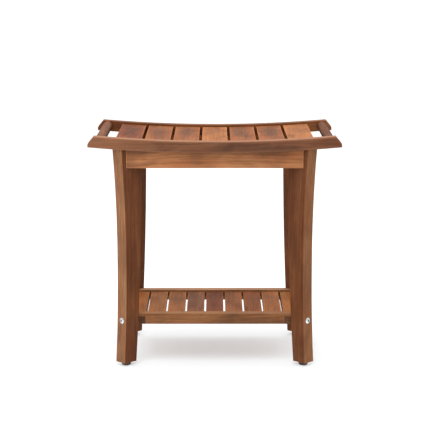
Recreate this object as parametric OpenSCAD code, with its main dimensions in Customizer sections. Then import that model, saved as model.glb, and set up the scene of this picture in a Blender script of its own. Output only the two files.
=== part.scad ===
// Slatted wooden shower stool: a seat that sags between two curved rails, a round grip at
// each end, four legs set at 45 degrees, and a slatted shelf bolted between the legs.
// The origin is on the floor under the middle of the stool. X runs along the seat, Y runs
// from front to back and Z is up. All sizes are millimetres.

/* [Seat] */
// Length of the seat rails, tip to tip
seat_length = 500; // [480:5:540]
// Depth of the seat over both rails
seat_depth = 300; // [290:5:330]
// Height of the rails' top edge at the middle of the seat
seat_height = 458; // [440:1:470]
// Radius of the sag along the seat
seat_radius = 2760; // [2600:20:3400]
// Height of a seat rail
rail_height = 22; // [21:1:25]
// Thickness of a seat rail, front to back
rail_thickness = 22; // [20:1:24]
// How far each rail's end leans in from its bottom tip to its top
rail_end_lean = 12.5; // [9:0.5:14]

/* [Seat slats] */
// Number of seat slats
seat_slats = 7; // [7]
// Distance from one seat slat to the next
seat_slat_pitch = 57; // [56:0.5:57.5]
// Gap between seat slats
seat_slat_gap = 6; // [4:0.5:6]
// Thickness of a seat slat
seat_slat_thickness = 14; // [12:0.5:15]
// How far the slats lie below the rails' top edge
seat_slat_recess = 4; // [2:0.5:5]

/* [Handles] */
// Diameter of the round grips
handle_d = 20; // [18:0.5:20.5]
// Distance of each grip's axis from the middle of the seat
handle_x = 228.5; // [223:0.5:230]
// Diameter of the spigots that hold a grip in the rails
spigot_d = 12; // [10:0.5:13]
// Depth of the spigot holes
spigot_depth = 10; // [8:1:12]

/* [Aprons] */
// How far the rails overhang the front and back aprons
rail_overhang = 11.5; // [10:0.5:12]
// How far the rails' tips overhang the side aprons
end_overhang = 57; // [55:1:60]
// Height of the aprons' bottom edge
apron_bottom = 404.5; // [400:0.5:408]
// Thickness of the aprons
apron_thickness = 20; // [18:1:20]

/* [Legs] */
// Thickness of a leg across the diagonal
leg_thickness = 26; // [24:0.5:27]
// How far the narrowest part of a leg's outer face lies inside the frame's corner
leg_waist_inset = 10; // [9.5:0.5:12]
// Depth of a leg along the diagonal, from its inner face at the top to the waist's outer face
leg_depth = 43.5; // [41:0.5:44]
// Radius of the outer face above the waist
leg_upper_radius = 2200; // [2000:50:2600]
// Radius of the outer face below the waist
leg_lower_radius = 2650; // [2400:50:3200]
// Radius of the inner face
leg_inner_radius = 5100; // [4900:50:5600]

/* [Shelf] */
// Height of the shelf rails' top edge
shelf_height = 104; // [100:0.5:108]
// How far the shelf's rails lie behind the aprons' faces
shelf_inset = 22.5; // [21.5:0.5:23]
// Height of a shelf rail
shelf_rail_height = 21.5; // [21:0.5:24]
// Thickness of the front and back shelf rails
shelf_rail_thickness = 20; // [19:0.5:21]
// Height of the corner blocks that the front and back rails lap over
block_height = 16.5; // [16:0.5:17]
// How far the shelf slats and side rails lie below the front and back rails' top edge
shelf_recess = 3.5; // [3:0.5:4]
// Number of shelf slats between the side rails
shelf_slats = 7; // [7]
// Distance from one shelf slat to the next
shelf_slat_pitch = 39.5; // [39:0.25:39.75]
// Gap between shelf slats
shelf_slat_gap = 4; // [3.5:0.5:5]
// Thickness of a shelf slat
shelf_slat_thickness = 11; // [10:0.5:12]

/* [Levelling feet] */
// Diameter of a foot pad
foot_d = 18.5; // [17:0.5:20]
// Height of a foot pad
foot_height = 7; // [6:0.5:8]
// Diameter of the foot's threaded stem
stem_d = 6; // [6]
// Length of the stem above the pad
stem_length = 24; // [22:1:26]
// Gap between a screwed-in pad and the leg
foot_gap = 0.3; // [0.3:0.1:0.5]

/* [Fasteners] */
// Diameter of the shelf bolts' heads
bolt_head_d = 12.5; // [12:0.5:14]
// Height of the shelf bolts' heads
bolt_head_h = 3.2; // [3:0.1:3.5]
// Diameter of the shelf bolts' shanks
bolt_d = 6; // [6]
// Width across the flats of the bolts' hexagonal sockets
hex_key = 4; // [4:0.5:5]
// Diameter of the wooden dowels in the corner joints
dowel_d = 6; // [5:0.5:6]
// How far each dowel goes into a piece
dowel_depth = 8; // [7:0.5:8]

/* [Hidden] */
fine = 64;
arc_fine = 1440;
sides = ["left", "right"];
ends = ["front", "back"];
corners = ["front_left", "front_right", "back_left", "back_right"];
corner_signs = [[-1, -1], [1, -1], [-1, 1], [1, 1]];

// Seat: the sag's centre, the rails' inner faces and the rails' raked ends
sag_centre_z = seat_height + seat_radius;
half_length = seat_length / 2;
half_depth = seat_depth / 2;
rail_inner_y = half_depth - rail_thickness;
rail_end_round = 8;
rail_tip_flat = 4;
rail_tip_z = sag_z(half_length) - rail_height;
rake_angle = 41;
rake_run = half_length - rail_end_lean;
rake_top_z = sag_z(rake_run) + 1;

// Slat tongues, let into pockets in the rails
seat_slat_width = seat_slat_pitch - seat_slat_gap;
seat_slat_bottom = seat_height - seat_slat_recess - seat_slat_thickness;
seat_tongue = [40, 8, 6];
shelf_tongue = [24, 8, 5];

// Aprons and the frame's corners
apron_half_depth = half_depth - rail_overhang;
apron_half_width = half_length - end_overhang;
corner_offset = (apron_half_width - apron_half_depth) / 2;
corner_u = (apron_half_width + apron_half_depth) / sqrt(2);
side_apron_top = 441;
brace_depth = 17;
brace_height = 30;
brace_bottom = apron_bottom + 2;

// Legs, in a frame of their own: u runs outwards along the diagonal and v across it
leg_bottom = foot_height + foot_gap;
leg_waist_u = corner_u - leg_waist_inset;
leg_inner_u = leg_waist_u - leg_depth;
leg_waist_low = 190;
leg_waist_high = 230;
leg_inner_top_z = 440;
leg_cut = 900;

// Shelf
shelf_half_depth = apron_half_depth - shelf_inset;
shelf_half_width = apron_half_width - shelf_inset;
shelf_inner_y = shelf_half_depth - shelf_rail_thickness;
shelf_side_x = (shelf_slats * shelf_slat_pitch + shelf_slat_gap) / 2;
shelf_side_width = shelf_half_width - shelf_side_x;
shelf_bottom = shelf_height - shelf_rail_height;
shelf_top = shelf_height - shelf_recess;
shelf_slat_width = shelf_slat_pitch - shelf_slat_gap;

// Fasteners
bolt_z = shelf_height - shelf_rail_height / 2;
bolt_seat_u = leg_waist_u + 1;
bolt_length = 46;
bolt_hole_d = 6.5;
nut_u = 183.5;
nut_d = 10;
nut_length = 14.5;
nut_hole_gap = 0.3;
hanger_d = 7;
hanger_z = brace_bottom + brace_height / 2;
hanger_in_leg = 18;
hanger_tail = 12;
hanger_nut_af = 11;
hanger_nut_h = 6;
washer_d = 18;
washer_h = 1.5;
apron_dowel_z = [apron_bottom + 9, apron_bottom + 25];
shelf_dowel_z = shelf_bottom + 9;
shelf_dowel_y = shelf_half_depth - shelf_rail_thickness / 2;
shelf_dowel_x = shelf_half_width - 4.5;
shelf_side_dowel_depth = 6;
seat_screw_x = [for (k = [-2.5, -0.5, 0.5, 2.5]) k * seat_slat_pitch];
seat_screw_y = half_depth - rail_overhang / 2 - rail_thickness / 2;
seat_screw_d = 3.5;
seat_screw_head_d = 7;
seat_screw_head_h = 3;
seat_screw_sink = 8;
seat_screw_top = seat_height - 8;
insert_d = 10;
insert_length = 15;
stem_clearance = 0.05;
stem_room = 4;

teak = [0.62, 0.38, 0.23];
teak_light = [0.69, 0.44, 0.28];
teak_dark = [0.52, 0.32, 0.2];
steel = [0.78, 0.78, 0.77];
rubber = [0.13, 0.12, 0.12];
beech = [0.8, 0.66, 0.47];

// Height of the rails' top edge at x
function sag_z(x) = sag_centre_z - sqrt(pow(seat_radius, 2) - pow(x, 2));

// Distance along the diagonal at which a face at half depth y meets a leg's side
function mitre_u(y) = (2 * y + 2 * corner_offset - leg_thickness / sqrt(2)) / sqrt(2);

// Length of a front apron's face at half depth y, from the middle to a leg's side
function mitre_x(y) = y + 2 * corner_offset - leg_thickness / sqrt(2);

// The same for a side apron's face at half width x, along Y
function mitre_y(x) = x - 2 * corner_offset - leg_thickness / sqrt(2);

// Outer and inner faces of a leg at height z
function leg_outer_u(z) =
    z > leg_waist_high ? leg_waist_u + pow(z - leg_waist_high, 2) / (2 * leg_upper_radius)
    : z < leg_waist_low ? leg_waist_u + pow(leg_waist_low - z, 2) / (2 * leg_lower_radius)
    : leg_waist_u;
function leg_inner_at(z) = leg_inner_u + pow(leg_inner_top_z - z, 2) / (2 * leg_inner_radius);

// Centre of a foot, half way through the leg's bottom end
foot_u = (leg_outer_u(leg_bottom) + leg_inner_at(leg_bottom)) / 2;

// Places children in the frame of the leg at corner signs s
module at_corner(s) {
    translate([s[0] * corner_offset, -s[1] * corner_offset, 0])
        rotate([0, 0, atan2(s[1], s[0])])
            children();
}

// Turns children about the sag's centre, from the middle of the seat to x
module on_sag(x) {
    translate([0, 0, sag_centre_z])
        rotate([0, -asin(x / seat_radius), 0])
            translate([0, 0, -sag_centre_z])
                children();
}

// Cylinder of diameter d along the diagonal, from u1 to u2
module along_u(u1, u2, d, z) {
    translate([u1, 0, z])
        rotate([0, 90, 0])
            cylinder(d = d, h = u2 - u1, $fn = fine);
}

// Everything above the rails' underside
module above_rails() {
    translate([0, half_depth + 1, sag_centre_z])
        rotate([90, 0, 0])
            cylinder(r = seat_radius + rail_height, h = seat_depth + 2, $fn = arc_fine);
}

// Outline of a seat rail's raked ends, seen from the front
module rail_outline() {
    round_x = half_length - rail_end_round;
    round_z = rail_tip_z + rail_tip_flat;
    right = concat(
        [[half_length, seat_height - 2 * rail_height]],
        [for (a = [0 : rake_angle / 4 : rake_angle])
            [round_x + rail_end_round * cos(a), round_z + rail_end_round * sin(a)]],
        [[rake_run, rake_top_z]]
    );
    left = [for (i = [len(right) - 1 : -1 : 0]) [-right[i][0], right[i][1]]];
    polygon(concat(right, left));
}

// Tongue at each end of a slat, or the pocket for it: size is width, depth and thickness
module tongues(size, y, top, thickness) {
    for (s = [-1, 1])
        translate([-size[0] / 2, s * (y + size[1] / 2) - size[1] / 2, top - (thickness + size[2]) / 2])
            cube(size);
}

module seat_tongues(i) {
    on_sag((i - (seat_slats + 1) / 2) * seat_slat_pitch)
        tongues(seat_tongue, rail_inner_y, seat_height - seat_slat_recess, seat_slat_thickness);
}

module shelf_tongues(i) {
    translate([(i - (shelf_slats + 1) / 2) * shelf_slat_pitch, 0, 0])
        tongues(shelf_tongue, shelf_inner_y, shelf_top, shelf_slat_thickness);
}

module seat_rail(s) {
    color(teak)
        difference() {
            translate([0, s * (half_depth - rail_thickness / 2) + rail_thickness / 2, 0])
                rotate([90, 0, 0])
                    linear_extrude(rail_thickness)
                        intersection() {
                            rail_outline();
                            translate([0, sag_centre_z])
                                difference() {
                                    circle(r = seat_radius + rail_height, $fn = arc_fine);
                                    circle(r = seat_radius, $fn = arc_fine);
                                }
                        }
            for (i = [1 : seat_slats])
                seat_tongues(i);
            for (x = [-handle_x, handle_x])
                handle_spigots(x);
            seat_screw_shanks();
        }
}

module seat_slat(i) {
    color(teak_light) {
        on_sag((i - (seat_slats + 1) / 2) * seat_slat_pitch)
            translate([-seat_slat_width / 2, -rail_inner_y, seat_slat_bottom])
                cube([seat_slat_width, 2 * rail_inner_y, seat_slat_thickness]);
        seat_tongues(i);
    }
}

// Spigots of the grip at x, both together as one rod
module handle_spigots(x) {
    reach = rail_inner_y + spigot_depth;
    translate([x, reach, sag_z(x) - rail_height / 2])
        rotate([90, 0, 0])
            cylinder(d = spigot_d, h = 2 * reach, $fn = fine);
}

module handle(x) {
    color(teak_light) {
        translate([x, rail_inner_y, sag_z(x) - rail_height / 2])
            rotate([90, 0, 0])
                cylinder(d = handle_d, h = 2 * rail_inner_y, $fn = fine);
        handle_spigots(x);
    }
}

// Front or back apron, its ends mitred onto the legs' sides
module apron_end(s) {
    inner_y = apron_half_depth - apron_thickness;
    outer = mitre_x(apron_half_depth);
    inner = mitre_x(inner_y);
    color(teak)
        difference() {
            translate([0, 0, apron_bottom])
                linear_extrude(seat_height - apron_bottom)
                    polygon([[-outer, s * apron_half_depth], [outer, s * apron_half_depth],
                             [inner, s * inner_y], [-inner, s * inner_y]]);
            above_rails();
            apron_dowel_set();
            seat_screw_shanks();
            seat_screw_recesses();
        }
}

// Side apron, its ends mitred in the same way
module apron_side(s) {
    inner_x = apron_half_width - apron_thickness;
    outer = mitre_y(apron_half_width);
    inner = mitre_y(inner_x);
    color(teak)
        difference() {
            translate([0, 0, apron_bottom])
                linear_extrude(side_apron_top - apron_bottom)
                    polygon([[s * apron_half_width, -outer], [s * apron_half_width, outer],
                             [s * inner_x, inner], [s * inner_x, -inner]]);
            apron_dowel_set();
        }
}

// Solid of a leg in its own frame, before it is drilled
module leg_blank() {
    rotate([90, 0, 0])
        translate([0, 0, -leg_thickness / 2])
            linear_extrude(leg_thickness)
                difference() {
                    intersection() {
                        translate([leg_inner_u - 1, leg_bottom])
                            square([leg_cut, seat_height - leg_bottom]);
                        translate([leg_inner_u + leg_inner_radius, leg_inner_top_z])
                            circle(r = leg_inner_radius, $fn = arc_fine);
                    }
                    translate([leg_waist_u, leg_waist_low])
                        square([leg_cut, leg_waist_high - leg_waist_low]);
                    leg_flare(leg_upper_radius, leg_waist_high, 1);
                    leg_flare(leg_lower_radius, leg_waist_low, -1);
                }
}

// What is cut away outside one of a leg's curved faces, above (1) or below (-1) the height z
module leg_flare(radius, z, side) {
    intersection() {
        translate([leg_waist_u + radius, z])
            circle(r = radius, $fn = arc_fine);
        translate([leg_waist_u, side > 0 ? z : z - leg_cut])
            square([leg_cut, leg_cut]);
    }
}

module leg(s) {
    color(teak)
        difference() {
            at_corner(s)
                difference() {
                    leg_blank();
                    along_u(leg_inner_u - 1, leg_outer_u(bolt_z) + 5, bolt_hole_d, bolt_z);
                    along_u(bolt_seat_u, bolt_seat_u + 20, bolt_head_d + 1, bolt_z);
                    along_u(leg_inner_u - 1, leg_inner_u + hanger_in_leg, hanger_d, hanger_z);
                    foot_hole();
                }
            above_rails();
            apron_dowel_set();
        }
}

// Hole in a leg's bottom end for the threaded insert and the stem above it
module foot_hole() {
    translate([foot_u, 0, leg_bottom - 1]) {
        cylinder(d = insert_d, h = insert_length + 1, $fn = fine);
        cylinder(d = stem_d + 1, h = stem_length + stem_room, $fn = fine);
    }
}

// Wedge-shaped block in the frame's corner, between the aprons and behind the leg
module corner_brace(s) {
    spread = sqrt(2) * (apron_half_depth - apron_thickness + corner_offset);
    back_u = leg_inner_u - brace_depth;
    color(teak_dark)
        at_corner(s)
            difference() {
                translate([0, 0, brace_bottom])
                    linear_extrude(brace_height)
                        polygon([[back_u, back_u - spread], [leg_inner_u, leg_inner_u - spread],
                                 [leg_inner_u, spread - leg_inner_u], [back_u, spread - back_u]]);
                along_u(back_u - 1, leg_inner_u + 1, hanger_d + 0.5, hanger_z);
            }
}

// Front or back shelf rail; its top laps over the corner blocks as far as the legs
module shelf_rail_end(s) {
    color(teak)
        difference() {
            translate([-shelf_half_width, s > 0 ? shelf_inner_y : -shelf_half_depth, shelf_bottom])
                cube([2 * shelf_half_width, shelf_rail_thickness, shelf_rail_height]);
            for (x = [-1, 1]) {
                at_corner([x, s])
                    leg_blank();
                shelf_block_box([x, s], 1);
            }
            for (i = [1 : shelf_slats])
                shelf_tongues(i);
            shelf_dowel_set();
        }
}

module shelf_rail_side(s) {
    color(teak)
        difference() {
            translate([s > 0 ? shelf_side_x : -shelf_half_width, -shelf_inner_y, shelf_bottom])
                cube([shelf_side_width, 2 * shelf_inner_y, shelf_top - shelf_bottom]);
            shelf_dowel_set();
        }
}

module shelf_slat(i) {
    color(teak_light) {
        translate([(i - (shelf_slats + 1) / 2) * shelf_slat_pitch - shelf_slat_width / 2,
                   -shelf_inner_y, shelf_top - shelf_slat_thickness])
            cube([shelf_slat_width, 2 * shelf_inner_y, shelf_slat_thickness]);
        shelf_tongues(i);
    }
}

// Box of the corner block at signs s, or the notch for it: extra widens it on all outer sides
module shelf_block_box(s, extra) {
    translate([s[0] > 0 ? shelf_side_x : -shelf_half_width - extra,
               s[1] > 0 ? shelf_inner_y - extra : -shelf_half_depth - extra, shelf_bottom - extra])
        cube([shelf_side_width + extra, shelf_rail_thickness + 2 * extra, block_height + extra]);
}

// Block that carries the shelf's corner, its outer edge cut to the leg's inner face
module shelf_block(s) {
    color(teak_dark)
        difference() {
            shelf_block_box(s, 0);
            at_corner(s) {
                leg_blank();
                along_u(bolt_seat_u - bolt_length - 1, leg_waist_u, bolt_hole_d, bolt_z);
                barrel_nut_body(nut_hole_gap, 2);
            }
            shelf_dowel_set();
        }
}

// Upright cross dowel in the shelf block, or the hole for it: gap is on the diameter, drop below
module barrel_nut_body(gap, drop) {
    translate([nut_u, 0, shelf_bottom + 1 - drop])
        cylinder(d = nut_d + gap, h = nut_length + drop, $fn = fine);
}

// Dowels between the aprons' ends and the legs' sides
module apron_dowel_set() {
    for (s = corner_signs)
        at_corner(s)
            for (z = apron_dowel_z)
                for (v = [-1, 1])
                    translate([mitre_u(apron_half_depth - apron_thickness / 2),
                               v * (leg_thickness / 2 + dowel_depth), z])
                        rotate([v * 90, 0, 0])
                            cylinder(d = dowel_d, h = 2 * dowel_depth, $fn = fine);
}

// Dowels between the shelf's rails and its corner blocks
module shelf_dowel_set() {
    for (s = corner_signs) {
        translate([s[0] * shelf_side_x - dowel_depth, s[1] * shelf_dowel_y, shelf_dowel_z])
            rotate([0, 90, 0])
                cylinder(d = dowel_d, h = 2 * dowel_depth, $fn = fine);
        translate([s[0] * shelf_dowel_x, s[1] * shelf_inner_y + shelf_side_dowel_depth, shelf_dowel_z])
            rotate([90, 0, 0])
                cylinder(d = dowel_d, h = 2 * shelf_side_dowel_depth, $fn = fine);
    }
}

// Places children at each screw that holds a seat rail on its apron
module at_seat_screws() {
    for (x = seat_screw_x)
        for (s = [-1, 1])
            translate([x, s * seat_screw_y, 0])
                children();
}

module seat_screw_shanks() {
    at_seat_screws()
        translate([0, 0, apron_bottom + 1])
            cylinder(d = seat_screw_d, h = seat_screw_top - apron_bottom - 1, $fn = fine);
}

module seat_screw_recesses() {
    at_seat_screws()
        translate([0, 0, apron_bottom - 1])
            cylinder(d = seat_screw_head_d + 0.6, h = seat_screw_sink + 1, $fn = fine);
}

module seat_screws() {
    head_z = apron_bottom + seat_screw_sink - seat_screw_head_h;
    color(steel)
        at_seat_screws()
            difference() {
                union() {
                    translate([0, 0, head_z])
                        cylinder(d = seat_screw_head_d, h = seat_screw_head_h, $fn = fine);
                    translate([0, 0, head_z + 1])
                        cylinder(d = seat_screw_d, h = seat_screw_top - head_z - 1, $fn = fine);
                }
                translate([0, 0, head_z - 1])
                    cylinder(d = seat_screw_head_d / 2, h = 2.5, $fn = 6);
            }
}

module apron_dowels() {
    color(beech)
        apron_dowel_set();
}

module shelf_dowels() {
    color(beech)
        shelf_dowel_set();
}

module hanger_bolts() {
    color(steel)
        for (s = corner_signs)
            at_corner(s)
                along_u(leg_inner_u - brace_depth - hanger_tail, leg_inner_u + hanger_in_leg,
                        hanger_d, hanger_z);
}

module hanger_washers() {
    back_u = leg_inner_u - brace_depth;
    color(steel)
        for (s = corner_signs)
            at_corner(s)
                difference() {
                    along_u(back_u - washer_h, back_u, washer_d, hanger_z);
                    along_u(back_u - washer_h - 1, back_u + 1, hanger_d, hanger_z);
                }
}

module hanger_nuts() {
    back_u = leg_inner_u - brace_depth - washer_h;
    color(steel)
        for (s = corner_signs)
            at_corner(s)
                difference() {
                    translate([back_u - hanger_nut_h, 0, hanger_z])
                        rotate([0, 90, 0])
                            cylinder(d = hanger_nut_af / cos(30), h = hanger_nut_h, $fn = 6);
                    along_u(back_u - hanger_nut_h - 1, back_u + 1, hanger_d, hanger_z);
                }
}

module shelf_bolts() {
    color(steel)
        for (s = corner_signs)
            at_corner(s)
                difference() {
                    union() {
                        along_u(bolt_seat_u - bolt_length, bolt_seat_u + 1, bolt_d, bolt_z);
                        bolt_head();
                    }
                    translate([bolt_seat_u + 0.8, 0, bolt_z])
                        rotate([0, 90, 0])
                            cylinder(d = hex_key / cos(30), h = bolt_head_h, $fn = 6);
                }
}

// Domed button head: a short rim under a spherical cap
module bolt_head() {
    rim = 1;
    cap = bolt_head_h - rim;
    cap_radius = (pow(bolt_head_d / 2, 2) + pow(cap, 2)) / (2 * cap);
    translate([bolt_seat_u, 0, bolt_z])
        rotate([0, 90, 0])
            rotate_extrude($fn = fine)
                intersection() {
                    translate([0, bolt_head_h - cap_radius])
                        circle(r = cap_radius, $fn = 96);
                    square([bolt_head_d / 2, bolt_head_h]);
                }
}

module barrel_nuts() {
    color(steel)
        for (s = corner_signs)
            at_corner(s)
                difference() {
                    barrel_nut_body(0, 0);
                    along_u(nut_u - nut_d, nut_u + nut_d, bolt_d, bolt_z);
                }
}

module foot_inserts() {
    color(steel)
        for (s = corner_signs)
            at_corner(s)
                translate([foot_u, 0, leg_bottom])
                    difference() {
                        cylinder(d = insert_d, h = insert_length, $fn = fine);
                        translate([0, 0, -1])
                            cylinder(d = stem_d + 2 * stem_clearance, h = insert_length + 2, $fn = fine);
                    }
}

// Round pad with a well rounded sole
module foot_pad(s) {
    edge = foot_d / 2;
    sole_round = 3;
    bevel = 0.6;
    color(rubber)
        at_corner(s)
            translate([foot_u, 0, 0])
                rotate_extrude($fn = fine) {
                    square([edge - sole_round, sole_round]);
                    translate([edge - sole_round, sole_round])
                        circle(r = sole_round, $fn = 96);
                    polygon([[0, sole_round], [edge, sole_round], [edge, foot_height - bevel],
                             [edge - bevel, foot_height], [0, foot_height]]);
                }
}

module foot_stem(s) {
    color(steel)
        at_corner(s)
            translate([foot_u, 0, foot_height])
                cylinder(d = stem_d, h = stem_length, $fn = fine);
}

for (k = [0, 1]) {
    s = 2 * k - 1;
    seat_rail(s);
    apron_end(s);
    shelf_rail_end(s);
    handle(s * handle_x);
    apron_side(s);
    shelf_rail_side(s);
}
for (i = [1 : seat_slats])
    seat_slat(i);
for (i = [1 : shelf_slats])
    shelf_slat(i);
for (k = [0 : 3]) {
    leg(corner_signs[k]);
    corner_brace(corner_signs[k]);
    shelf_block(corner_signs[k]);
    foot_pad(corner_signs[k]);
    foot_stem(corner_signs[k]);
}
apron_dowels();
shelf_dowels();
seat_screws();
hanger_bolts();
hanger_washers();
hanger_nuts();
shelf_bolts();
barrel_nuts();
foot_inserts();
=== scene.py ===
"""Looks for the slatted shower stool: oiled hardwood, steel fasteners and dark rubber feet."""

import math

import bpy
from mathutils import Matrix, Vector


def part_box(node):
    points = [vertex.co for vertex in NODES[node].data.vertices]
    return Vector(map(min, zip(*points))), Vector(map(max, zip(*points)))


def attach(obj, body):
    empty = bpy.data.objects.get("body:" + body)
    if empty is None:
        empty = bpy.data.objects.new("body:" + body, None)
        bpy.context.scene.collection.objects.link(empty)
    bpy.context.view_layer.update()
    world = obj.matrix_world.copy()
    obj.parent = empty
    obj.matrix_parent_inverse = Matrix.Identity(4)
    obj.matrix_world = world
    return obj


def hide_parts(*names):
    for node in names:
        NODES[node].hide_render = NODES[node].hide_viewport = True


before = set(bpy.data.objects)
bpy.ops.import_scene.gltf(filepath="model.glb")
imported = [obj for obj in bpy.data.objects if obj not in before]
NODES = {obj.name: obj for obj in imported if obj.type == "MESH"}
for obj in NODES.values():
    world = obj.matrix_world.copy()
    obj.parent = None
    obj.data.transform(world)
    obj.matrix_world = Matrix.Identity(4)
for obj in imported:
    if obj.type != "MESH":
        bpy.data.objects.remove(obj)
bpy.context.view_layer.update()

CORNERS = ("front_left", "front_right", "back_left", "back_right")
WHITE = (1.0, 1.0, 1.0, 1.0)


# ---------------------------------------------------------------- camera

LENS = 126.1  # mm
SENSOR_WIDTH = 36.0  # mm
PITCH = math.radians(10.308)  # downwards
YAW = math.radians(-0.047)
CAMERA_PLACE = (-0.0020, -3.1216, 0.8471)
CAMERA_REACH = 50.0  # how far it sees, in metres


def make_camera():
    """The camera at the photograph's viewing angle: a long lens, a little above the seat."""
    data = bpy.data.cameras.new("camera")
    data.lens = LENS
    data.sensor_width = SENSOR_WIDTH
    data.clip_end = CAMERA_REACH
    camera = bpy.data.objects.new("camera", data)
    camera.rotation_euler = (math.pi / 2 - PITCH, 0.0, YAW)
    camera.location = CAMERA_PLACE
    bpy.context.collection.objects.link(camera)
    bpy.context.scene.camera = camera


# ---------------------------------------------------------------- node helpers

MIX_A, MIX_B, MIX_RESULT = 6, 7, 2  # a Mix node's colour sockets, which share their names with others


class Tree:
    """Short calls for building one node tree."""

    def __init__(self, tree):
        self.tree = tree

    def node(self, kind, **settings):
        made = self.tree.nodes.new(kind)
        for name, value in settings.items():
            setattr(made, name, value)
        return made

    def put(self, socket, value):
        """Links value to the socket if it is a socket, and sets it if it is a number or a colour."""
        if value is None:
            return
        if isinstance(value, bpy.types.NodeSocket):
            self.tree.links.new(value, socket)
        else:
            socket.default_value = value

    def place(self):
        """The shaded point's place in the piece's own frame, in metres."""
        return self.node("ShaderNodeTexCoord").outputs["Object"]

    def math(self, operation, a, b=None):
        made = self.node("ShaderNodeMath", operation=operation)
        self.put(made.inputs[0], a)
        self.put(made.inputs[1], b)
        return made.outputs[0]

    def vector(self, operation, a, b=None, output="Vector"):
        """A vector operation; output is "Value" where its result is a number."""
        made = self.node("ShaderNodeVectorMath", operation=operation)
        self.put(made.inputs[0], a)
        self.put(made.inputs[1], b)
        return made.outputs[output]

    def axis(self, vector, name):
        """The X, Y or Z of a vector."""
        made = self.node("ShaderNodeSeparateXYZ")
        self.put(made.inputs[0], vector)
        return made.outputs[name]

    def noise(self, vector, scale=1.0, detail=4.0, rough=0.5, distortion=0.0, output="Fac"):
        made = self.node("ShaderNodeTexNoise")
        self.put(made.inputs["Vector"], vector)
        made.inputs["Scale"].default_value = scale
        made.inputs["Detail"].default_value = detail
        made.inputs["Roughness"].default_value = rough
        made.inputs["Distortion"].default_value = distortion
        return made.outputs[output]

    def range(self, value, low, high, out_low=0.0, out_high=1.0):
        """Goes from out_low to out_high while value goes from low to high, and stays between them."""
        made = self.node("ShaderNodeMapRange", clamp=True)
        self.put(made.inputs["Value"], value)
        for name, number in (("From Min", low), ("From Max", high),
                             ("To Min", out_low), ("To Max", out_high)):
            made.inputs[name].default_value = number
        return made.outputs[0]

    def mix(self, factor, a, b):
        """Colour a where factor is 0, and colour b where it is 1."""
        made = self.node("ShaderNodeMix", data_type="RGBA", clamp_factor=True)
        self.put(made.inputs[0], factor)
        for socket, colour in ((made.inputs[MIX_A], a), (made.inputs[MIX_B], b)):
            self.put(socket, (*colour, 1.0) if isinstance(colour, tuple) else colour)
        return made.outputs[MIX_RESULT]

    def bump(self, shader, height, strength, distance):
        """Roughens the shader's surface; distance is the depth of the bumps in metres."""
        made = self.node("ShaderNodeBump")
        made.inputs["Strength"].default_value = strength
        made.inputs["Distance"].default_value = distance
        self.put(made.inputs["Height"], height)
        self.put(shader.inputs["Normal"], made.outputs[0])


def new_material(name):
    material = bpy.data.materials.new(name)
    material.use_nodes = True
    tree = material.node_tree
    tree.nodes.clear()
    maker = Tree(tree)
    shader = maker.node("ShaderNodeBsdfPrincipled")
    output = maker.node("ShaderNodeOutputMaterial")
    tree.links.new(shader.outputs[0], output.inputs["Surface"])
    return material, maker, shader


def srgb(red, green, blue):
    """A linear colour from 0 to 255 sRGB values."""
    def linear(value):
        value /= 255.0
        return value / 12.92 if value <= 0.04045 else ((value + 0.055) / 1.055) ** 2.4
    return tuple(linear(v) for v in (red, green, blue))


# ---------------------------------------------------------------- grain

# how fine each part of the grain is, as features a metre: both ways across the grain, then along it
WANDER_SCALE = (14.0, 14.0, 2.2)
JITTER_SCALE = (60.0, 60.0, 3.0)
STREAK_SCALE = (420.0, 420.0, 9.0)
PORE_SCALE = (1500.0, 1500.0, 55.0)
CLOUD_SCALE = (34.0, 34.0, 9.0)
STAIN_SCALE = (24.0, 24.0, 12.0)

RINGS_PER_METRE = 230.0
WANDER = 0.028  # how far the rings wander across the grain, in metres
JITTER = 1.1  # how unevenly they are spaced, in rings
RING_SHARPNESS = 2.2  # how late in a ring it darkens
RING_BORDER = 0.12  # the part of a ring over which it lightens again
PORE_RANGE = (0.62, 0.72)  # the noise that makes a pore
STAIN_RANGE = (0.44, 0.66)  # the noise that makes a stain


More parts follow.
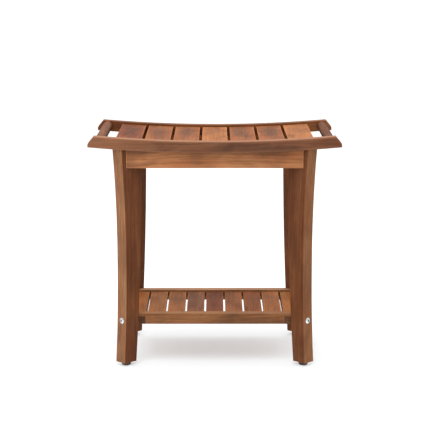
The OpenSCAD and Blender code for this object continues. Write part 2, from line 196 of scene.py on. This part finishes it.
def grain_group():
    """Grain of flat-sawn hardwood.

    The Vector input is in metres from the log's heart, with Z along the grain.
    """
    group = bpy.data.node_groups.new("wood_grain", "ShaderNodeTree")
    face = group.interface
    face.new_socket("Vector", in_out="INPUT", socket_type="NodeSocketVector")
    for name in ("Rings", "Streaks", "Pores", "Clouds", "Stains"):
        face.new_socket(name, in_out="OUTPUT", socket_type="NodeSocketFloat")
    t = Tree(group)
    source = t.node("NodeGroupInput").outputs["Vector"]
    output = t.node("NodeGroupOutput")

    # the rings wander slowly along the grain, and the streaks and pores go with them
    slow = t.noise(t.vector("MULTIPLY", source, WANDER_SCALE), detail=2.0, output="Color")
    wander = t.vector("MULTIPLY", t.vector("SUBTRACT", slow, (0.5, 0.5, 0.5)), (WANDER, WANDER, 0.0))
    bent = t.vector("ADD", source, wander)
    radius = t.vector("LENGTH", t.vector("MULTIPLY", bent, (1.0, 1.0, 0.0)), output="Value")
    jitter = t.noise(t.vector("MULTIPLY", source, JITTER_SCALE), detail=3.0)
    phase = t.math("ADD", t.math("MULTIPLY", radius, RINGS_PER_METRE), t.math("MULTIPLY", jitter, JITTER))
    saw = t.math("FRACT", phase)
    rings = t.math("POWER", saw, RING_SHARPNESS)
    border = t.range(saw, 0.0, RING_BORDER, 1.0, 0.0)
    t.put(output.inputs["Rings"], t.math("MAXIMUM", rings, border))

    streaks = t.noise(t.vector("MULTIPLY", bent, STREAK_SCALE), detail=5.0, rough=0.6)
    t.put(output.inputs["Streaks"], streaks)
    pores = t.noise(t.vector("MULTIPLY", bent, PORE_SCALE), detail=2.0)
    t.put(output.inputs["Pores"], t.range(pores, *PORE_RANGE))
    clouds = t.noise(t.vector("MULTIPLY", source, CLOUD_SCALE), detail=3.0, rough=0.55)
    t.put(output.inputs["Clouds"], clouds)
    stains = t.noise(t.vector("MULTIPLY", source, STAIN_SCALE), detail=2.0, distortion=0.6)
    t.put(output.inputs["Stains"], t.range(stains, *STAIN_RANGE))
    return group


def grain_outputs(t, group, along, heart):
    """The grain of a piece whose log runs along a direction through a heart: a dictionary of sockets."""
    local = t.vector("SUBTRACT", t.place(), tuple(heart))
    upright = Vector((0, 0, 1)).rotation_difference(Vector(along).normalized()).inverted()
    mapping = t.node("ShaderNodeMapping", vector_type="POINT")
    mapping.inputs["Rotation"].default_value = upright.to_matrix().to_euler()
    t.put(mapping.inputs["Vector"], local)
    grain = t.node("ShaderNodeGroup")
    grain.node_tree = group
    t.put(grain.inputs[0], mapping.outputs[0])
    return grain.outputs


# ---------------------------------------------------------------- masks

MASK_SAMPLES = 4
FLAT_COSINE, EDGE_COSINE = 0.995, 0.86  # between the true normal and the rounded one
LEVEL_RANGE = (0.15, 0.6)  # the upward part of the normal over which a face comes to face up
CREVICE_REACH = 0.014  # how near the other side of a crevice is, in metres
CREVICE_RANGE = (0.55, 0.2)  # the open part of the view over which a crevice deepens
CORE_SHIFT = 0.15  # how far behind the middle a core lies, as a part of the piece's half depth
CORE_NOISE = 26.0  # features a metre of a core's uneven border
CORE_RANGE = (1.5, 0.75)  # distance plus noise, from a core's border to where it is darkest


def edge_masks(t, radius):
    """Two masks: 1 on convex edges and 0 on flat faces; and 1 on what faces up, upper edges included."""
    bevel = t.node("ShaderNodeBevel", samples=MASK_SAMPLES)
    bevel.inputs["Radius"].default_value = radius
    rounded = bevel.outputs["Normal"]
    true = t.node("ShaderNodeNewGeometry").outputs["Normal"]
    cosine = t.vector("DOT_PRODUCT", rounded, true, output="Value")
    return t.range(cosine, FLAT_COSINE, EDGE_COSINE), t.range(t.axis(rounded, "Z"), *LEVEL_RANGE)


def crevice_mask(t):
    """1 deep in gaps and corners, which take painted shade, and 0 in the open."""
    occlusion = t.node("ShaderNodeAmbientOcclusion", samples=MASK_SAMPLES)
    occlusion.inputs["Distance"].default_value = CREVICE_REACH
    return t.range(occlusion.outputs["AO"], *CREVICE_RANGE)


def core_mask(t, node):
    """1 in the middle of a piece as seen from above, fading out unevenly towards its edges."""
    low, high = (Vector(corner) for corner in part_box(node))
    half = (high - low) / 2
    middle = low + half + Vector((0, CORE_SHIFT * half.y, 0))
    place = t.place()
    scaled = t.vector("MULTIPLY", t.vector("SUBTRACT", place, tuple(middle)), (1 / half.x, 1 / half.y, 0.0))
    distance = t.vector("LENGTH", scaled, output="Value")
    uneven = t.noise(place, CORE_NOISE, detail=3.0, rough=0.6)
    return t.range(t.math("ADD", distance, uneven), *CORE_RANGE)


# ---------------------------------------------------------------- wood

# what parts of the grain do to a wood's mean colour
DARK = (0.46, 0.38, 0.34)
LIGHT = (1.5, 1.52, 1.5)
RED = (1.2, 1.0, 0.88)
PALE = (2.3, 2.35, 2.3)
PORE = (0.16, 0.13, 0.12)
STAIN = (0.36, 0.36, 0.44)
BRIGHTEST = 0.9  # no wood reflects more than this

CLOUD_RANGE = (0.35, 0.65)  # the clouds over which light wood turns reddish
STREAK_RANGE = (0.38, 0.72)  # the streaks over which wood turns dark
GRAIN_IN_FADING = (0.35, 0.65, 1.0, 0.68)  # the streaks, and how much they let the worn edges and painted highlight show
STREAK_DEPTH = 0.75
RING_DEPTH = 0.5
PORE_DEPTH = 0.55
SAPWOOD_DEPTH = 0.4
# how dark the painted shade in gaps and corners gets
DIRT_DEPTH = 0.65

WOOD_ROUGHNESS = (0.3, 0.7, 0.48, 0.62)  # the streaks, and the roughness over them
PORE_ROUGHNESS = 0.18
WOOD_IOR = 1.45
WOOD_SPECULAR = 0.12
STREAK_HEIGHT = 0.5
RING_HEIGHT = 0.25
WOOD_BUMP, WOOD_BUMP_DEPTH = 0.35, 0.0004

BLEACH = 0.3  # how far faces that face up pale, as a painted highlight, unless a piece says otherwise
EDGE_BAND = 0.0018  # how wide the paler band along an edge is, in metres


def shade(mean, factors):
    """A lighter or darker version of a wood's mean colour, given in sRGB."""
    return tuple(min(BRIGHTEST, value * factor) for value, factor in zip(srgb(*mean), factors))


def wood_colour(t, grain, node, mean, bleach, wear, edge, streak, stain, core, sapwood):
    """The grain's colours, then the core, the paler end, the worn edges and painted highlight, and the
    painted shade in gaps and corners over them.
    """
    dark, light, red, pale = (shade(mean, factors) for factors in (DARK, LIGHT, RED, PALE))
    base = t.mix(t.range(grain["Clouds"], *CLOUD_RANGE), light, red)
    base = t.mix(t.range(grain["Streaks"], *STREAK_RANGE, 0.0, STREAK_DEPTH * streak), base, dark)
    base = t.mix(t.math("MULTIPLY", grain["Rings"], RING_DEPTH * streak), base, dark)
    base = t.mix(t.math("MULTIPLY", grain["Stains"], stain), base, shade(mean, STAIN))
    if core:
        base = t.mix(t.math("MULTIPLY", core_mask(t, node), core), base, shade(mean, STAIN))
    # the piece grows paler from one x to another
    if sapwood:
        base = t.mix(t.range(t.axis(t.place(), "X"), *sapwood, 0.0, SAPWOOD_DEPTH), base, pale)
    base = t.mix(t.math("MULTIPLY", grain["Pores"], PORE_DEPTH), base, shade(mean, PORE))
    edges, upper = edge_masks(t, edge)
    # worn edges, and a painted highlight on the faces and upper edges that face up
    faded = t.math("MAXIMUM", t.math("MULTIPLY", edges, wear), t.math("MULTIPLY", upper, bleach))
    base = t.mix(t.math("MULTIPLY", faded, t.range(grain["Streaks"], *GRAIN_IN_FADING)), base, pale)
    # painted shade in gaps and corners, darkest where the view is most closed in
    return t.mix(t.math("MULTIPLY", crevice_mask(t), DIRT_DEPTH), base, shade(mean, PORE))


def wood(name, group, along, heart, mean, bleach=BLEACH, wear=0.5, edge=EDGE_BAND, streak=1.0, stain=0.6,
         core=0.0, sapwood=None):
    """The colour, roughness and bump of one piece.

    along is the grain's direction, heart the log's centre and mean the average colour. What faces up is
    paled as a painted highlight, and wear pales the edges, over a band edge wide. streak is the grain's
    contrast and stain the dark patches'; core darkens the middle, and the last argument pales the piece from
    one x to another. A piece with a core has its node's name.
    """
    material, t, shader = new_material(name)
    grain = grain_outputs(t, group, along, heart)
    colour = wood_colour(t, grain, name, mean, bleach, wear, edge, streak, stain, core, sapwood)
    t.put(shader.inputs["Base Color"], colour)
    rough = t.math("ADD", t.range(grain["Streaks"], *WOOD_ROUGHNESS),
                   t.math("MULTIPLY", grain["Pores"], PORE_ROUGHNESS))
    t.put(shader.inputs["Roughness"], rough)
    shader.inputs["IOR"].default_value = WOOD_IOR
    shader.inputs["Specular IOR Level"].default_value = WOOD_SPECULAR
    height = t.math("SUBTRACT", t.math("MULTIPLY", grain["Streaks"], STREAK_HEIGHT), grain["Pores"])
    height = t.math("SUBTRACT", height, t.math("MULTIPLY", grain["Rings"], RING_HEIGHT))
    t.bump(shader, height, WOOD_BUMP, WOOD_BUMP_DEPTH)
    return material


# ---------------------------------------------------------------- steel and rubber

DULL_STEEL = (0.62, 0.62, 0.61)
BRIGHT_STEEL = (0.8, 0.8, 0.79)
SOCKET_COLOUR = (0.03, 0.02, 0.015)
SOCKET_RANGE = (0.0034, 0.0024)  # metres from a socket's middle over which it darkens
SMUDGE_NOISE = 160.0  # features a metre
BRUSH_SCALE = (900.0, 900.0, 2600.0)  # features a metre along X, Y and Z
SMUDGE_ROUGHNESS = 0.16
BRUSH_ROUGHNESS = 0.18
STEEL_BUMP, STEEL_BUMP_DEPTH = 0.15, 0.0001

CLEAN_RUBBER = (0.042, 0.026, 0.02)
DUSTY_RUBBER = (0.085, 0.058, 0.048)
SPECK_NOISE = 2400.0  # features a metre
DUST_NOISE = 140.0  # features a metre
DUST_RANGE = (0.4, 0.8)
RUBBER_ROUGHNESS = (0.3, 0.7, 0.5, 0.75)  # the specks, and the roughness over them
RUBBER_BUMP, RUBBER_BUMP_DEPTH = 0.25, 0.00015


def steel(name, socket=None):
    """Brushed steel; socket is the middle of a recess, painted dark with shade, that shows in all four
    corners.
    """
    material, t, shader = new_material(name)
    place = t.place()
    smudge = t.noise(place, SMUDGE_NOISE, detail=3.0)
    brushed = t.noise(t.vector("MULTIPLY", place, BRUSH_SCALE), detail=3.0)
    base = t.mix(smudge, DULL_STEEL, BRIGHT_STEEL)
    if socket:
        # painted shade in the bolts' hex sockets
        distance = t.vector("DISTANCE", t.vector("ABSOLUTE", place), socket, output="Value")
        base = t.mix(t.range(distance, *SOCKET_RANGE), base, SOCKET_COLOUR)
    t.put(shader.inputs["Base Color"], base)
    shader.inputs["Metallic"].default_value = 1.0
    t.put(shader.inputs["Roughness"], t.math("ADD", t.math("MULTIPLY", smudge, SMUDGE_ROUGHNESS),
                                             t.math("MULTIPLY", brushed, BRUSH_ROUGHNESS)))
    t.bump(shader, brushed, STEEL_BUMP, STEEL_BUMP_DEPTH)
    return material


def rubber(name):
    """Dark moulded rubber with fine specks and a little dust."""
    material, t, shader = new_material(name)
    place = t.place()
    speck = t.noise(place, SPECK_NOISE, detail=3.0, rough=0.6)
    dust = t.noise(place, DUST_NOISE)
    t.put(shader.inputs["Base Color"], t.mix(t.range(dust, *DUST_RANGE), CLEAN_RUBBER, DUSTY_RUBBER))
    t.put(shader.inputs["Roughness"], t.range(speck, *RUBBER_ROUGHNESS))
    t.bump(shader, speck, RUBBER_BUMP, RUBBER_BUMP_DEPTH)
    return material


# ---------------------------------------------------------------- tones

# the wood's tones as sRGB colours
STRAW = (185, 145, 90)
OAT = (155, 105, 70)
SAND = (140, 100, 70)
HONEY = (145, 90, 45)
AMBER = (140, 85, 40)
CHESTNUT = (130, 75, 35)
TAN = (125, 85, 55)
TEAK = (115, 70, 40)
COPPER = (120, 65, 25)
RUSSET = (110, 55, 20)
DRIFTWOOD = (105, 70, 50)
UMBER = (100, 60, 35)
WALNUT = (90, 60, 40)
MAHOGANY = (85, 45, 15)

SEAT_SLAT_TONES = (RUSSET, CHESTNUT, CHESTNUT, HONEY, CHESTNUT, CHESTNUT, HONEY)
SHELF_SLAT_TONES = (HONEY, AMBER, TEAK, RUSSET, CHESTNUT, COPPER, HONEY)

# how far each slat's middle is darkened
SEAT_SLAT_CORES = (0.8, 0.85, 0.85, 0.2, 0.85, 0.9, 0.5)
SHELF_SLAT_CORE = 0.3

# the tones of the other pieces; a leg's side faces have a darker one of their own, painted shade
TONES = {
    # the right-hand handle is darker than the left one, painted shade of the light from the left
    "handle_left": UMBER, "handle_right": MAHOGANY,
    "seat_rail_front": DRIFTWOOD, "seat_rail_back": TEAK,
    "apron_front": OAT, "apron_back": TEAK, "apron_left": TEAK, "apron_right": TEAK,
    # the right front leg is darker than the left one, and the back legs darker still, painted shade of the
    # light from the left and under the seat
    "leg_front_left": SAND, "leg_front_right": TAN, "leg_back_left": UMBER, "leg_back_right": TEAK,
    "leg_front_left_side": UMBER, "leg_front_right_side": UMBER,
    "leg_back_left_side": WALNUT, "leg_back_right_side": DRIFTWOOD,
    # the shelf blocks are dark from their end grain, and in part from painted shade beside the legs
    "corner_brace": UMBER, "shelf_block": WALNUT,
    "shelf_rail_front": TAN, "shelf_rail_back": SAND, "shelf_rail_left": AMBER, "shelf_rail_right": HONEY,
    "dowel": STRAW,
}

# how the long rails pale, where they differ from the rest: the painted highlight on what faces up, the band
# along the edges, and one end
RAIL_FADING = {
    "seat_rail_front": {"bleach": 1.0, "edge": 0.006, "sapwood": (-0.1, -0.2)},
    "seat_rail_back": {"bleach": 0.05},
    "shelf_rail_front": {"bleach": 0.5},
    "shelf_rail_back": {"bleach": 0.5},
}


# ---------------------------------------------------------------- wooden pieces

BEVEL_ANGLE = math.radians(25)  # edges sharper than this are rounded
BEVEL_SEGMENTS = 3
GRIP_BEVEL = 0.0012
RAIL_BEVEL = 0.0018
SEAT_RAIL_BEVEL = 0.0032
SLAT_BEVEL = 0.0018
CORNER_BEVEL = 0.0016
SIDE_COSINE = 0.7  # a leg's face is one of its sides where the cosine to its sideways axis is above this

# the direction of the grain in each kind of piece; a leg's and a brace's are the back right one's
SLAT_GRAIN = (0.02, 1.0, 0.0)
GRIP_GRAIN = (0.0, 1.0, 0.01)
SHORT_RAIL_GRAIN = (0.0, 1.0, 0.015)
LONG_RAIL_GRAIN = (1.0, 0.0, 0.004)
LEG_GRAIN = (0.015, 0.015, 1.0)
BRACE_GRAIN = (1, -1, 0.0)
BLOCK_GRAIN = (0.0, 1.0, 0.0)
DOWEL_GRAIN = (1.0, 1.0, 0.0)

# from a piece's middle to its log's heart, in metres, for the right-hand or back piece of each kind
GRIP_HEART = (0.03, 0, -0.03)
SHORT_RAIL_HEART = (-0.05, 0, -0.045)
SEAT_RAIL_HEART = (0, -0.05, 0.05)
APRON_HEART = (0, -0.05, -0.04)
SHELF_RAIL_HEART = (0, -0.05, 0.05)
LEG_HEART = (-0.05, 0.03, 0)
CORNER_HEART = (0, 0.04, -0.05)
SLAT_HEARTS = ((0.03, 0.0, -0.05), (-0.04, 0.0, -0.07), (0.06, 0.0, -0.04), (-0.02, 0.0, -0.09),
               (0.05, 0.0, -0.06), (-0.06, 0.0, -0.05), (0.01, 0.0, -0.08))
DOWEL_HEART = (0.3, 0.0, 0.2)  # from the origin


def paint(node, material):
    """Gives a CAD node one material in place of its own."""
    mesh = NODES[node].data
    mesh.materials.clear()
    mesh.materials.append(material)


def round_edges(node, width):
    """Bevels a piece's sharp edges."""
    piece = NODES[node]
    bevel = piece.modifiers.new("bevel", "BEVEL")
    bevel.width = width
    bevel.segments = BEVEL_SEGMENTS
    bevel.limit_method = "ANGLE"
    bevel.angle_limit = BEVEL_ANGLE
    bevel.harden_normals = True
    bevel.use_clamp_overlap = True
    for polygon in piece.data.polygons:
        polygon.use_smooth = True


def mirrored(vector, x=1, y=1):
    """A vector of the right-hand or back piece, turned into that of the piece on side x and end y."""
    return (vector[0] * x, vector[1] * y, vector[2])


def log_heart(node, offset):
    """The heart of a piece's log, at an offset from the middle of the piece."""
    low, high = (Vector(corner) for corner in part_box(node))
    return (low + high) / 2 + Vector(offset)


def finish_piece(node, group, along, offset, tone, bevel, **look):
    """One piece with its own grain and rounded edges; look holds wood's other settings."""
    paint(node, wood(node, group, along, log_heart(node, offset), tone, **look))
    round_edges(node, bevel)


def finish_slats(group):
    # the slats' tops take a weak painted highlight
    look = {"bleach": 0.1, "wear": 0.75, "edge": 0.004, "streak": 0.5}
    for i in range(len(SLAT_HEARTS)):
        shelf_heart = SLAT_HEARTS[(2 * i + 3) % len(SLAT_HEARTS)]  # the same hearts in another order
        for kind, heart, tone, core in (
                ("seat_slat", SLAT_HEARTS[i], SEAT_SLAT_TONES[i], SEAT_SLAT_CORES[i]),
                ("shelf_slat", shelf_heart, SHELF_SLAT_TONES[i], SHELF_SLAT_CORE)):
            node = f"{kind}_{i + 1}"
            finish_piece(node, group, SLAT_GRAIN, heart, tone, SLAT_BEVEL, core=core, **look)


def finish_rails(group):
    for side, x in (("left", -1), ("right", 1)):
        node = f"handle_{side}"
        finish_piece(node, group, GRIP_GRAIN, mirrored(GRIP_HEART, x), TONES[node], GRIP_BEVEL)
        for kind in ("apron", "shelf_rail"):
            node = f"{kind}_{side}"
            heart = mirrored(SHORT_RAIL_HEART, x)
            finish_piece(node, group, SHORT_RAIL_GRAIN, heart, TONES[node], RAIL_BEVEL)
    for end, y in (("front", -1), ("back", 1)):
        for kind, heart, bevel in (("seat_rail", SEAT_RAIL_HEART, SEAT_RAIL_BEVEL),
                                   ("apron", APRON_HEART, RAIL_BEVEL),
                                   ("shelf_rail", SHELF_RAIL_HEART, RAIL_BEVEL)):
            node = f"{kind}_{end}"
            finish_piece(node, group, LONG_RAIL_GRAIN, mirrored(heart, y=y), TONES[node], bevel,
                         streak=0.75, **RAIL_FADING.get(node, {}))


def finish_leg(corner, x, y, group):
    """A leg, whose two side faces have a darker tone of their own, painted shade."""
    node = f"leg_{corner}"
    along = mirrored(LEG_GRAIN, x, y)
    heart = log_heart(node, mirrored(LEG_HEART, x, y))
    front, side = (wood(name, group, along, heart, TONES[name], streak=0.8, stain=0.3)
                   for name in (node, f"{node}_side"))
    paint(node, front)
    mesh = NODES[node].data
    mesh.materials.append(side)
    # the side faces get the darker tone, painted shade
    sideways = Vector((x, -y, 0)).normalized()
    for polygon in mesh.polygons:
        if abs(polygon.normal.dot(sideways)) > SIDE_COSINE:
            polygon.material_index = 1
    round_edges(node, CORNER_BEVEL)


def finish_corners(group):
    for corner in CORNERS:
        x = 1 if "right" in corner else -1
        y = 1 if "back" in corner else -1
        finish_leg(corner, x, y, group)
        heart = mirrored(CORNER_HEART, x, y)
        for kind, along in (("corner_brace", mirrored(BRACE_GRAIN, x, y)), ("shelf_block", BLOCK_GRAIN)):
            finish_piece(f"{kind}_{corner}", group, along, heart, TONES[kind], CORNER_BEVEL)


def finish_wood(group):
    finish_slats(group)
    finish_rails(group)
    finish_corners(group)
    dowel = wood("dowel", group, DOWEL_GRAIN, DOWEL_HEART, TONES["dowel"])
    for node in ("apron_dowels", "shelf_dowels"):
        paint(node, dowel)


# ---------------------------------------------------------------- fasteners and feet

FASTENERS = ("seat_screws", "hanger_bolts", "hanger_washers", "hanger_nuts", "barrel_nuts", "foot_inserts")
SOCKET_INSET = 0.0056  # from the shelf bolts' box to the middle of a socket, along X and along Y
STEM_RADIUS = 0.003
THREAD_DEPTH = 0.00055
THREAD_PITCH = 0.001
STEM_SIDES = 32
ROWS_PER_PITCH = 4
TAPER_ROWS = 2 * ROWS_PER_PITCH  # over which the thread runs out at the stem's top


def finish_fasteners(material):
    for node in FASTENERS:
        paint(node, material)
    low, high = (Vector(corner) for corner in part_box("shelf_bolts"))
    socket = (high.x - SOCKET_INSET, high.y - SOCKET_INSET, (low.z + high.z) / 2)
    paint("shelf_bolts", steel("steel_bolts", socket))


def threaded_stem(corner, material):
    """A screw thread in place of the foot's plain stem."""
    low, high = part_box(f"foot_stem_{corner}")
    rows = round((high[2] - low[2]) / THREAD_PITCH * ROWS_PER_PITCH)
    middle = ((low[0] + high[0]) / 2, (low[1] + high[1]) / 2)
    points, faces = [], []
    for row in range(rows + 1):
        z = low[2] + (high[2] - low[2]) * row / rows
        for k in range(STEM_SIDES):
            turn = k / STEM_SIDES
            groove = abs(((row / ROWS_PER_PITCH - turn) % 1.0) * 2 - 1)
            taper = min(1.0, (rows - row) / TAPER_ROWS)
            radius = STEM_RADIUS - THREAD_DEPTH * max(groove, 1 - taper)
            angle = 2 * math.pi * turn
            points.append((middle[0] + radius * math.cos(angle), middle[1] + radius * math.sin(angle), z))
    for row in range(rows):
        for k in range(STEM_SIDES):
            a = row * STEM_SIDES + k
            b = row * STEM_SIDES + (k + 1) % STEM_SIDES
            faces.append((a, b, b + STEM_SIDES, a + STEM_SIDES))
    faces.append(tuple(reversed(range(STEM_SIDES))))
    faces.append(tuple(range(rows * STEM_SIDES, (rows + 1) * STEM_SIDES)))
    mesh = bpy.data.meshes.new(f"threaded_stem_{corner}")
    mesh.from_pydata(points, [], faces)
    mesh.materials.append(material)
    stem = bpy.data.objects.new(f"threaded_stem_{corner}", mesh)
    bpy.context.collection.objects.link(stem)
    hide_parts(f"foot_stem_{corner}")
    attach(stem, f"foot_{corner}")


def finish_feet(stem_material):
    pad_material = rubber("rubber")
    for corner in CORNERS:
        paint(f"foot_pad_{corner}", pad_material)
        threaded_stem(corner, stem_material)


# ---------------------------------------------------------------- stage

FLOOR_HALF = 30.0  # half the floor's width and depth, in metres
FLOOR_COLOUR = (0.53, 0.555, 0.565, 1.0)
FLOOR_GLOW = 0.45  # keeps the open floor white beside the lit background
FLOOR_ROUGHNESS = 0.9
FLOOR_SPECULAR = 0.1

# each light's name, place, width in metres and watts
LIGHTS = (("key", (-0.5, -1.6, 2.6), 1.8, 40), ("top", (0.0, 0.9, 2.9), 1.6, 26))
LIGHT_TARGET = (0, 0, 0.3)
HORIZON_GLOW = 0.8
OVERHEAD_GLOW = 0.6  # what is added overhead
GLOW_SHARPNESS = 2.0  # how quickly that fades towards the horizon


def make_stage():
    """A wide pale floor."""
    mesh = bpy.data.meshes.new("floor")
    corners = [(x * FLOOR_HALF, y * FLOOR_HALF, 0) for x, y in ((-1, -1), (1, -1), (1, 1), (-1, 1))]
    mesh.from_pydata(corners, [], [(0, 1, 2, 3)])
    floor = bpy.data.objects.new("floor", mesh)
    bpy.context.collection.objects.link(floor)
    material, _, shader = new_material("floor")
    shader.inputs["Base Color"].default_value = FLOOR_COLOUR
    shader.inputs["Emission Color"].default_value = WHITE
    shader.inputs["Emission Strength"].default_value = FLOOR_GLOW
    shader.inputs["Roughness"].default_value = FLOOR_ROUGHNESS
    shader.inputs["Specular IOR Level"].default_value = FLOOR_SPECULAR
    mesh.materials.append(material)


def area_light(name, location, width, power):
    data = bpy.data.lights.new(name, "AREA")
    data.shape = "SQUARE"
    data.size = width
    data.energy = power
    light = bpy.data.objects.new(name, data)
    light.location = location
    aim = Vector(LIGHT_TARGET) - Vector(location)
    light.rotation_euler = aim.to_track_quat("-Z", "Y").to_euler()
    bpy.context.collection.objects.link(light)


def make_lights():
    """A pale dome, brightest overhead, a large soft key light in front and a weaker one above and behind."""
    world = bpy.data.worlds.new("studio")
    bpy.context.scene.world = world
    world.use_nodes = True
    t = Tree(world.node_tree)
    direction = t.node("ShaderNodeTexCoord").outputs["Generated"]
    height = t.math("MAXIMUM", t.axis(direction, "Z"), 0.0)
    overhead = t.math("MULTIPLY", t.math("POWER", height, GLOW_SHARPNESS), OVERHEAD_GLOW)
    background = world.node_tree.nodes["Background"]
    background.inputs["Color"].default_value = WHITE
    t.put(background.inputs["Strength"], t.math("ADD", overhead, HORIZON_GLOW))
    for light in LIGHTS:
        area_light(*light)
    view = bpy.context.scene.view_settings
    view.view_transform = "Standard"
    view.look = "None"


# ---------------------------------------------------------------- build

make_camera()
finish_wood(grain_group())
steel_finish = steel("steel")
finish_fasteners(steel_finish)
finish_feet(steel_finish)
make_stage()
make_lights()
